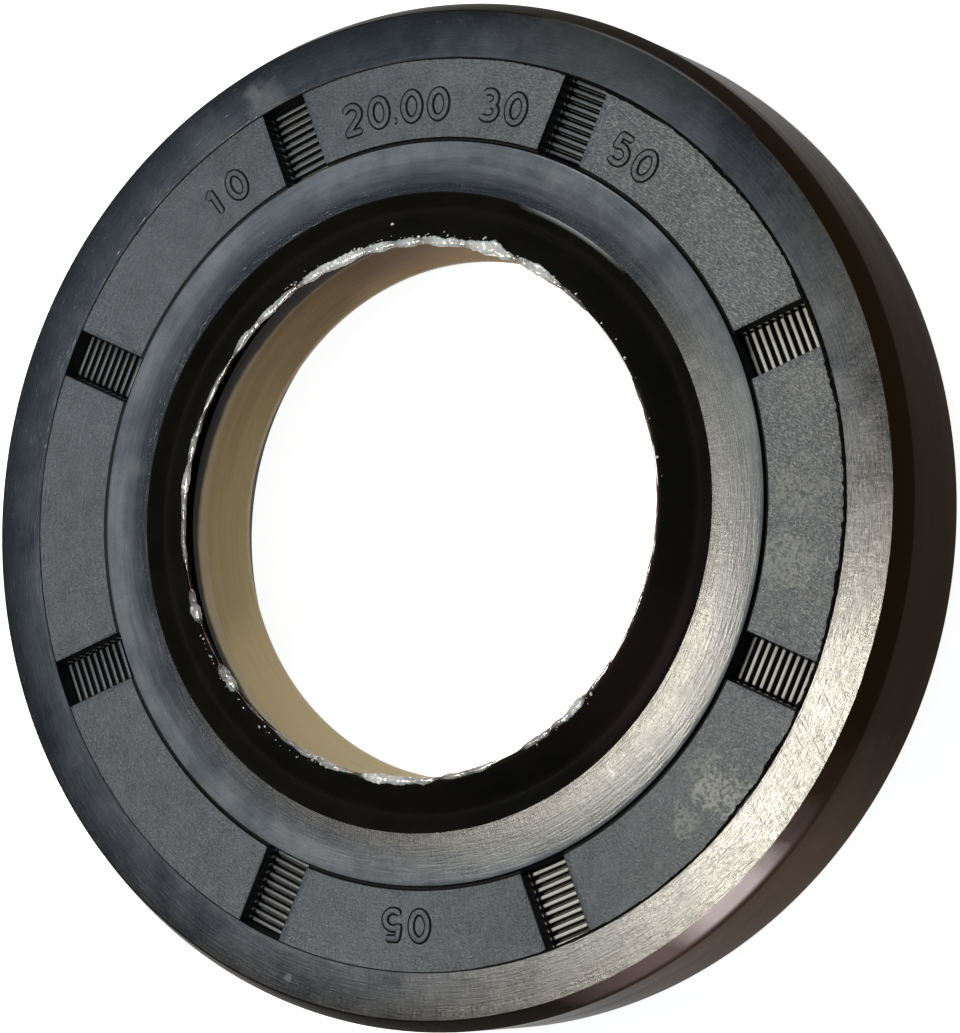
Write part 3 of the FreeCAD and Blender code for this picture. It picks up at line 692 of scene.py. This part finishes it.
def buffed_rubber(name, dark, light, roughness, darker_tone, darker_from, darker_to, marks, polish, hatched=()):
    """Rubber buffed round the axis: blue-grey, with fine rings of lighter and darker marks, clouds, short
    scratches across the rings, and a share of a darker colour that grows from one radius to another. The
    darker part is smoother by the amount polish towards the upper left. Each of marks is a pale patch: its
    place, reach, strength and tone; on the collar two of them are a painted sheen. Each of hatched is a patch
    of strokes: its place, reach and turn."""
    material, tree, shader = new_finish(name, Anisotropic=0.15, Specular_IOR_Level=0.62)
    fine = use(tree, "streaks", Fineness=8.0, Length=13.0, Seed=3.0)
    broad = use(tree, "streaks", Fineness=1.6, Length=2.2, Seed=8.0)
    across = use(tree, "streaks", Fineness=1.3, Length=120.0, Seed=12.0)
    cloud = use(tree, "grain", Size=2.6, Detail=6.0, Seed=4.0)
    grain = use(tree, "grain", Size=0.18, Detail=4.0)
    mixed = weighted(tree, (fine, 0.25), (broad, 0.3), (cloud, 0.6))
    colour = blend(tree, spread(tree, mixed, 0.42, 0.76), dark, light)
    uneven = plus(tree, fine.node.outputs["Radius"], swing(tree, broad, 1.6))
    # A darker colour towards one radius; on the collar this is painted shade.
    darkening = spread(tree, uneven, darker_from, darker_to)
    colour = blend(tree, darkening, colour, darker_tone)
    nicks = use(tree, "specks", Spacing=2.2, Width=0.07, Share=0.18)
    colour = blend(tree, times(tree, nicks, 0.4), colour, (0.30, 0.32, 0.33))
    # Pale patches; on the collar two of them are a painted sheen.
    for x, y, reach, strength, tone in marks:
        spot = use(tree, "patch", Place=seen_place(x, y), Reach=reach, Broken=0.5)
        colour = blend(tree, times(tree, spot, strength), colour, (tone * 0.92, tone * 0.98, tone))
    gloss = spread(tree, plus(tree, cloud, grain), 0.75, 1.25, roughness - 0.035, roughness + 0.055)
    smoother = times(tree, darkening, ramp(tree, -0.6, 0.8, -5, 12, 0.0, polish))
    paint(tree, shader, colour, calc(tree, "SUBTRACT", gloss, smoother))
    relief = plus(tree, fine, times(tree, across, 0.25))
    for x, y, reach, turn in hatched:
        spot = use(tree, "patch", Place=seen_place(x, y), Reach=reach, Broken=0.3)
        strokes = calc(tree, "SUBTRACT", use(tree, "hatch", Turn=turn, Width=0.22), 0.5)
        relief = plus(tree, relief, times(tree, spot, strokes))
    bump(tree, shader, plus(tree, relief, times(tree, grain, 0.07)), 0.022, 0.9)
    along_rings(tree, shader)
    return material


# Pale dust on the band: a place in the picture's directions, a reach and a strength.
DUST = [(25.3, -4.1, 2.4, 0.5), (26.0, 0.1, 2.2, 0.35), (19.3, -16.6, 1.3, 0.4), (20.3, -17.8, 1.8, 0.9),
        (21.6, -18.4, 2.0, 0.9), (18.2, -19.6, 1.2, 0.5), (26.4, 6.5, 2.2, 0.2), (-9.0, 24.6, 1.8, 0.12),
        (2.0, 26.3, 2.4, 0.06), (11.5, 24.2, 1.6, 0.15), (-25.7, -5.6, 1.6, 0.06)]


def band_rubber():
    """The moulded band: grey, with a rough mould texture that catches the light, fine scratches, dusty
    patches, and pale flecks that grow towards the right, where they are painted glints."""
    material, tree, shader = new_finish("rubber_band", Specular_IOR_Level=0.5)
    rough = use(tree, "grain", Size=0.2, Detail=5.0)
    mottle = use(tree, "grain", Size=1.6, Detail=4.0, Seed=4.0)
    along = use(tree, "streaks", Fineness=5.0, Length=9.0, Seed=5.0)
    across = use(tree, "streaks", Fineness=0.9, Length=110.0, Seed=6.0)
    mixed = weighted(tree, (rough, 0.5), (mottle, 0.35), (across, 0.15))
    mixed = plus(tree, mixed, swing(tree, use(tree, "grain", Size=16.0, Detail=1.0, Seed=2.6), 0.25))
    tone = spread(tree, mixed, 0.38, 0.64)
    colour = blend(tree, tone, (0.034, 0.044, 0.060), (0.086, 0.103, 0.133))
    flecks_and_glints = spread(tree, use(tree, "grain", Size=0.12, Detail=3.0, Seed=21.0), 0.52, 0.66, 0.0, 0.6)
    for strokes in (use(tree, "hatch", Turn=0.9, Width=0.07, Stretch=5.0),
                    use(tree, "streaks", Fineness=9.0, Length=70.0, Seed=17.0)):
        flecks_and_glints = calc(tree, "MAXIMUM", flecks_and_glints, spread(tree, strokes, 0.54, 0.72))
    # Painted glints: the flecks grow stronger towards the right, nearer the light.
    flecks_and_glints = times(tree, flecks_and_glints, ramp(tree, 0.97, 0.24, 4, 24, 0.05, 0.85))
    colour = blend(tree, flecks_and_glints, colour, (0.37, 0.38, 0.375))
    dust = None
    for x, y, reach, strength in DUST:
        spot = use(tree, "patch", Place=seen_place(x, y, BAND), Reach=reach, Broken=0.8)
        spot = times(tree, spread(tree, spot, 0.2, 0.55), strength)
        dust = spot if dust is None else calc(tree, "MAXIMUM", dust, spot)
    powder = spread(tree, use(tree, "grain", Size=0.24, Detail=5.0, Seed=11.0), 0.44, 0.53)
    colour = blend(tree, times(tree, dust, powder), colour, (0.29, 0.31, 0.305))
    paint(tree, shader, colour, spread(tree, rough, 0.3, 0.7, 0.28, 0.42))
    pits = use(tree, "grain", Size=0.12, Detail=2.0, Seed=14.0)
    relief = plus(tree, plus(tree, pits, times(tree, along, 0.5)), times(tree, across, 0.8))
    bump(tree, shader, relief, 0.075)
    return material


def gloss_rubber(name, dark, light, smoothest, roughest, specular, dents=0.02, tint=(1, 1, 1), sheens_and_tints=(),
                 banded=False):
    """Smooth moulded rubber: nearly black, with clouds of more and less gloss, pale specks and very shallow
    dents. Each patch of another colour is given by its place, its reach, the height it starts at and its
    colour; on the wall, the riser and the channel most are painted highlights and reflections."""
    material, tree, shader = new_finish(name, Specular_IOR_Level=specular, Specular_Tint=(*tint, 1))
    if banded:
        cloud = use(tree, "streaks", Fineness=0.55, Length=1.4, Seed=2.0)
    else:
        cloud = use(tree, "grain", Size=3.4, Detail=4.0, Seed=2.0)
    fine = use(tree, "grain", Size=0.35, Detail=3.0, Seed=6.0)
    colour = blend(tree, spread(tree, cloud, 0.35, 0.7), dark, light)
    specks = use(tree, "specks", Spacing=1.7, Width=0.05, Share=0.25)
    colour = blend(tree, times(tree, specks, 0.8), colour, (0.5, 0.5, 0.48))
    # Patches of another colour: painted highlights and reflections on the wall, riser and channel, lighter
    # tones on the line and seam.
    for place, reach, lowest, patch_colour in sheens_and_tints:
        spot = use(tree, "patch", Place=seen_place(*place), Reach=reach, Broken=0.08)
        above = spread(tree, upward(tree), (lowest - 0.15) * MM, (lowest + 0.15) * MM)
        colour = blend(tree, times(tree, spot, above), colour, patch_colour)
    paint(tree, shader, colour, spread(tree, cloud, 0.35, 0.65, smoothest, roughest))
    bump(tree, shader, plus(tree, cloud, times(tree, fine, 0.12)), dents, 0.7)
    return material


def channel_rubber(name, patch_colour):
    """The very dark rubber of the channel round the dust lip, with one patch of painted light: a reflection
    on the channel, a highlight on the riser.
    """
    return gloss_rubber(name, (0.0056, 0.0056, 0.0050), (0.0090, 0.0087, 0.0080), 0.4, 0.55, 0.012,
                        sheens_and_tints=[patch_colour])


def black_rubber(name, *sheens_and_tints):
    """The black of grooves and seams, and of the numerals' sloping sides, where it stands in as painted
    shade.
    """
    return gloss_rubber(name, (0.003, 0.003, 0.003), (0.006, 0.006, 0.006), 0.5, 0.7, 0.15, sheens_and_tints=sheens_and_tints)


def slot_rubber():
    """The slots: black valleys and walls, with the ribs' crests grey and painted paler towards the lower
    right as a highlight.
    """
    material, tree, shader = new_finish("rubber_slot", Specular_IOR_Level=0.36)
    height = upward(tree)
    near_top = spread(tree, height, (RIB_TOP - 0.085) * MM, (RIB_TOP - 0.02) * MM)
    not_over = spread(tree, height, (RIB_TOP + 0.02) * MM, (RIB_TOP + 0.06) * MM, 1.0, 0.0)
    not_over = times(tree, not_over, spread(tree, upward(tree, "Normal"), 0.55, 0.8))
    grain = use(tree, "grain", Size=0.14, Detail=4.0, Seed=9.0)
    crest = times(tree, times(tree, near_top, not_over), spread(tree, grain, 0.25, 0.5, 0.75, 1.0))
    # Painted highlight: the crests turn pale towards the lower right.
    crest_tone_and_highlight = blend(tree, ramp(tree, 0.9, -0.44, -1, 18), (0.098, 0.115, 0.142), (0.54, 0.55, 0.54))
    colour = blend(tree, crest, (0.003, 0.003, 0.0035), crest_tone_and_highlight)
    paint(tree, shader, colour, spread(tree, grain, 0.3, 0.7, 0.3, 0.42))
    bump(tree, shader, grain, 0.02, 0.8)
    return material


def torn_rubber_and_shadow():
    """Torn flash: black and rough. The black is partly the torn rubber and partly painted shadow of the gap
    beside it.
    """
    material, tree, shader = new_finish("rubber_torn_shadow", Specular_IOR_Level=0.05)
    grain = use(tree, "grain", Size=0.1, Detail=4.0)
    colour = blend(tree, spread(tree, grain, 0.5, 0.8), (0.002, 0.002, 0.002), (0.02, 0.02, 0.02))
    paint(tree, shader, colour, spread(tree, grain, 0.3, 0.7, 0.6, 0.85))
    bump(tree, shader, grain, 0.03, 0.8)
    return material


def wet_grease(name, clear, cloudy, shallow, deep):
    """Wet grease: milky where it is deep, clear where it is shallow, so that the black rubber shows through,
    with a skin that glints, and white specks where it is milky that are painted highlights."""
    material, tree, shader = new_finish(name, Subsurface_Weight=0.3, Subsurface_Scale=0.0005, Coat_Weight=1.0,
                                        Coat_Roughness=0.04)
    depth = put(tree, "Attribute", attribute_name="depth").outputs["Fac"]
    cloud = use(tree, "grain", Size=0.9, Detail=5.0, Seed=1.0)
    fine = use(tree, "grain", Size=0.4, Detail=3.0, Seed=7.0)
    milky = spread(tree, times(tree, depth, plus(tree, cloud, 0.5)), shallow, deep)
    colour = blend(tree, milky, clear, cloudy)
    # Painted highlights: white specks where the grease is milky.
    flecks = use(tree, "specks", Spacing=0.42, Width=0.14, Share=0.5)
    colour = blend(tree, times(tree, flecks, milky), colour, (0.95, 0.97, 1.0))
    paint(tree, shader, colour, spread(tree, fine, 0.3, 0.7, 0.1, 0.3))
    bump(tree, shader, plus(tree, cloud, fine), 0.05)
    return material


def droplet_grease():
    """Small droplets: white and glossy."""
    material, tree, shader = new_finish("grease_droplet", Coat_Weight=1.0, Coat_Roughness=0.04)
    cloud = use(tree, "grain", Size=0.3, Detail=2.0, Seed=1.0)
    colour = blend(tree, spread(tree, cloud, 0.35, 0.65), (0.30, 0.30, 0.28), (0.80, 0.80, 0.77))
    paint(tree, shader, colour, spread(tree, cloud, 0.3, 0.7, 0.1, 0.25))
    bump(tree, shader, cloud, 0.01, 0.5)
    return material


def grease_film():
    """The grease in the pocket: khaki and glossy on the sealing lip's cone, with painted light that makes it
    paler towards the lower left, painted shade where it is steep, and near the pocket's wall so thin that the
    black rubber shows through it as a purplish brown. The edge between them is uneven, and higher at the
    lower left."""
    material, tree, shader = new_finish("grease_film", Coat_Roughness=0.12, Specular_IOR_Level=0.04)
    lower_left = (-0.72, -0.70)
    edge = use(tree, "grain", Size=2.2, Detail=3.0, Seed=5.0)
    uneven = plus(tree, calc(tree, "DIVIDE", upward(tree), MM), plus(tree, times(tree, edge, 0.5), 0.35))
    uneven = calc(tree, "SUBTRACT", uneven, ramp(tree, *lower_left, 0, 14, 0.0, 0.75))
    thin = spread(tree, uneven, 7.6, 7.95)
    bare = spread(tree, uneven, 7.9, 8.6)
    soft = weighted(tree, (use(tree, "streaks", Fineness=0.5, Length=2.0, Seed=2.0), 0.5),
                    (use(tree, "streaks", Fineness=2.2, Length=1.2, Seed=6.0), 0.5))
    # Painted light: the film is paler towards the lower left.
    pale = plus(tree, ramp(tree, *lower_left, -8, 17), swing(tree, soft, 0.9))
    colour = blend(tree, spread(tree, pale, 0.0, 1.0), (0.235, 0.152, 0.081), (0.62, 0.505, 0.285))
    # Painted shade: darker where the film is steep.
    steep = spread(tree, upward(tree, "Normal"), 0.15, 0.5, 0.55, 0.0)
    tones = ((steep, (0.085, 0.058, 0.036)), (thin, (0.034, 0.026, 0.020)), (bare, (0.006, 0.005, 0.006)))
    for share, tone in tones:
        colour = blend(tree, share, colour, tone)
    tree.links.new(spread(tree, thin, 0.0, 1.0, 0.25, 0.02), shader.inputs["Coat Weight"])
    paint(tree, shader, colour, spread(tree, edge, 0.3, 0.7, 0.25, 0.42))
    bump(tree, shader, plus(tree, thin, times(tree, edge, 0.5)), 0.05, 0.8)
    return material


def metal(name, dark, light, roughness):
    """Steel: drawn wire or pressed sheet, with slight clouding."""
    material, tree, shader = new_finish(name, Metallic=1.0)
    cloud = use(tree, "grain", Size=0.9, Detail=4.0)
    fine = use(tree, "grain", Size=0.12, Detail=2.0, Seed=3.0)
    colour = blend(tree, spread(tree, cloud, 0.35, 0.7), dark, light)
    paint(tree, shader, colour, spread(tree, fine, 0.3, 0.7, roughness, roughness + 0.15))
    bump(tree, shader, fine, 0.01, 0.5)
    return material


# Pale patches on the collar: a nick and small pale spots, and, second and last, a broad painted sheen over
# the collar's right.
COLLAR_SPOTS_AND_SHEEN = [(13.5, -16.7, 0.36, 0.8, 0.8), (18.6, 9.6, 5.0, 0.3, 0.16), (9.5, 20.6, 0.8, 0.25, 0.24),
                (-21.5, 4.0, 1.2, 0.2, 0.24), (22.4, 4.0, 7.0, 0.4, 0.27)]
# Pale spots and smudges on the rim; the last two lighten it broadly over the upper right.
RIM_MARKS = [(-11.5, 27.4, 1.6, 0.3, 0.24), (-12.6, 28.0, 0.8, 0.3, 0.24), (-9.6, -29.4, 0.3, 0.45, 0.24),
             (-16.0, 25.2, 2.6, 0.12, 0.24), (29.9, 3.0, 1.8, 0.2, 0.24), (27.3, 13.0, 8.0, 0.3, 0.13),
             (13.0, 27.4, 10.0, 0.3, 0.10)]
RIM_STROKES = [(26.6, -16.8, 6.5, 1.45)]
# Patches on the wall: the first makes the right side a warmer brown; the second, a tan over the lower right,
# is a painted reflection; the third and fourth paint a pink glint with a white middle on the bevel at the
# lower right; the last is a painted highlight along the face's top edge at the upper right.
WALL_TINT_AND_SHEENS = [((32.0, 2.0, 6.0), 44.0, -3.0, (0.0165, 0.0096, 0.0040)),
               ((21.0, -24.9, 7.0), 14.0, 1.0, (0.062, 0.036, 0.023)),
               ((19.5, -26.1, 10.2), 11.0, 9.7, (0.200, 0.140, 0.145)),
               ((21.3, -24.5, 10.4), 5.0, 9.85, (0.850, 0.710, 0.730)),
               ((16.5, 27.8, 10.9), 9.0, 10.87, (0.200, 0.205, 0.210))]

film = grease_film()
rubber = {
    # The channel's purplish patch at the lower right is a painted reflection.
    "channel": channel_rubber("rubber_channel", ((15.4, -10.4, 10.6), 7.0, 5.0, (0.016, 0.0115, 0.0125))),
    # The riser's pale patch at the upper right is a painted highlight along the collar's inner edge.
    "riser": channel_rubber("rubber_riser", ((10.9, 16.7, 10.9), 4.6, 11.1, (0.36, 0.39, 0.42))),
    # The collar's darker colour grows towards its inner edge as painted shade, where the crown slopes inwards
    # away from the light.
    "collar": buffed_rubber("rubber_collar", (0.058, 0.072, 0.094), (0.180, 0.202, 0.236), 0.26,
                            (0.013, 0.018, 0.031), 22.6, 20.8, COLLAR_SPOTS_AND_SHEEN, 0.09),
    # Lighter towards the picture's left.
    "line": black_rubber("rubber_line", ((-22.8, 6.0), 24.0, 9.0, (0.042, 0.049, 0.057))),
    "band": band_rubber(),
    # Lighter towards the picture's left.
    "seam": black_rubber("rubber_seam", ((-26.0, -8.0), 38.0, 9.0, (0.030, 0.036, 0.046))),
    "slot": slot_rubber(),
    # The rim's darker colour grows towards its outer edge.
    "rim": buffed_rubber("rubber_rim", (0.011, 0.017, 0.029), (0.057, 0.071, 0.100), 0.205,
                         (0.005, 0.007, 0.012), 29.7, 31.9, RIM_MARKS, 0.05, RIM_STROKES),
    "wall": gloss_rubber("rubber_wall", (0.0085, 0.0068, 0.0055), (0.0150, 0.0122, 0.0100), 0.2, 0.34, 0.0035,
                         0.01, (1.0, 0.72, 0.45), WALL_TINT_AND_SHEENS, True),
    "smeared": film,
    "inside": gloss_rubber("rubber_inside", (0.006, 0.005, 0.007), (0.012, 0.010, 0.013), 0.3, 0.5, 0.25),
}

moulding = rubber_moulding(rubber)
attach(moulding, "root")
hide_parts("rubber_body")

# The ribbon of torn flash, whose black is partly painted shadow.
flash = flash_and_shadow_line(torn_rubber_and_shadow())
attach(flash, "root")

# The numerals, whose sloping sides are black as painted shade.
figures = raised_figures(rubber["band"], black_rubber("figure_side_shade"))
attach(figures, "root")

coil = garter_coil(metal("spring_wire", (0.42, 0.42, 0.40), (0.62, 0.61, 0.58), 0.22))
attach(coil, "root")
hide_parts("garter_spring")

bead = grease_bead(wet_grease("grease_white", (0.045, 0.042, 0.036), (0.58, 0.62, 0.645), 0.08, 0.25))
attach(bead, "root")

droplets = grease_droplets(droplet_grease())
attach(droplets, "root")

sheet = metal("phosphated_sheet", (0.10, 0.10, 0.105), (0.20, 0.20, 0.20), 0.5)
for node, finish in (("steel_insert", sheet), ("lip_grease", film)):
    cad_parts[node].data.materials.clear()
    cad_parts[node].data.materials.append(finish)


def pale_floor():
    """A plain pale floor just under the seal, which also gives a little light of its own."""
    side, below = 3.0, 0.00002  # metres
    mesh = bpy.data.meshes.new("floor")
    corners = [(x * side, y * side, 0) for x, y in ((-1, -1), (1, -1), (1, 1), (-1, 1))]
    mesh.from_pydata(corners, [], [(0, 1, 2, 3)])
    finish = new_finish("pale_floor", Roughness=0.9, Specular_IOR_Level=0.1, Emission_Strength=0.93,
                        Base_Color=(0.9, 0.9, 0.9, 1), Emission_Color=(1, 1, 1, 1))
    mesh.materials.append(finish[0])
    piece = bpy.data.objects.new("floor", mesh)
    bpy.context.scene.collection.objects.link(piece)
    piece.location.z = -below


def softbox(name, azimuth, elevation, distance, size, watts, colour):
    """A square soft light that looks at the middle of the face. azimuth is in the picture's plane, 0 to its
    right and 90 to its top; distance and size are millimetres."""
    a, e = math.radians(azimuth) - TURN, math.radians(elevation)
    away = Vector((math.cos(a) * math.cos(e), math.sin(a) * math.cos(e), math.sin(e)))
    lamp = bpy.data.lights.new(name, "AREA")
    lamp.shape = "SQUARE"
    lamp.size = size * MM
    lamp.energy = watts
    lamp.color = colour
    holder = bpy.data.objects.new(name, lamp)
    holder.location = (Vector((0, 0, FACE)) + away * distance) * MM
    holder.rotation_euler = away.to_track_quat("Z", "Y").to_euler()
    bpy.context.scene.collection.objects.link(holder)


pale_floor()
softbox("highlight", 192, 73.6, 192, 36, 0.265, (1.0, 0.935, 0.79))
softbox("sky_left", 150, 36, 600, 380, 0.22, (0.70, 0.85, 1.0))
softbox("edge_glint", 95, 38, 500, 60, 0.5, (1.0, 0.98, 0.95))

world = bpy.data.worlds.new("studio")
world.use_nodes = True
backdrop = world.node_tree.nodes["Background"].inputs
backdrop["Color"].default_value = (0.80, 0.90, 1.0, 1)
backdrop["Strength"].default_value = 0.13
bpy.context.scene.world = world
bpy.context.scene.view_settings.view_transform = "Standard"

# The camera fitted to the circles of the face: its turns in radians, its place, and its lens.
TILT_X, TILT_Y = -0.094, -0.486
EYE = Vector((100.01, -62.91, 222.20))
PICTURE_HEIGHT, FOCAL_PIXELS, SENSOR = 1033, 3828.3, 36.0
camera = bpy.data.objects.new("camera", bpy.data.cameras.new("camera"))
camera.data.sensor_width = SENSOR
camera.data.lens = FOCAL_PIXELS / PICTURE_HEIGHT * SENSOR
camera.data.clip_start = 0.01
to_camera = Matrix.Rotation(TILT_X, 3, "X") @ Matrix.Rotation(TILT_Y, 3, "Y") @ Matrix.Rotation(TURN, 3, "Z")
camera.matrix_world = Matrix.Translation(EYE * MM) @ to_camera.transposed().to_4x4()
bpy.context.scene.collection.objects.link(camera)
bpy.context.scene.camera = camera
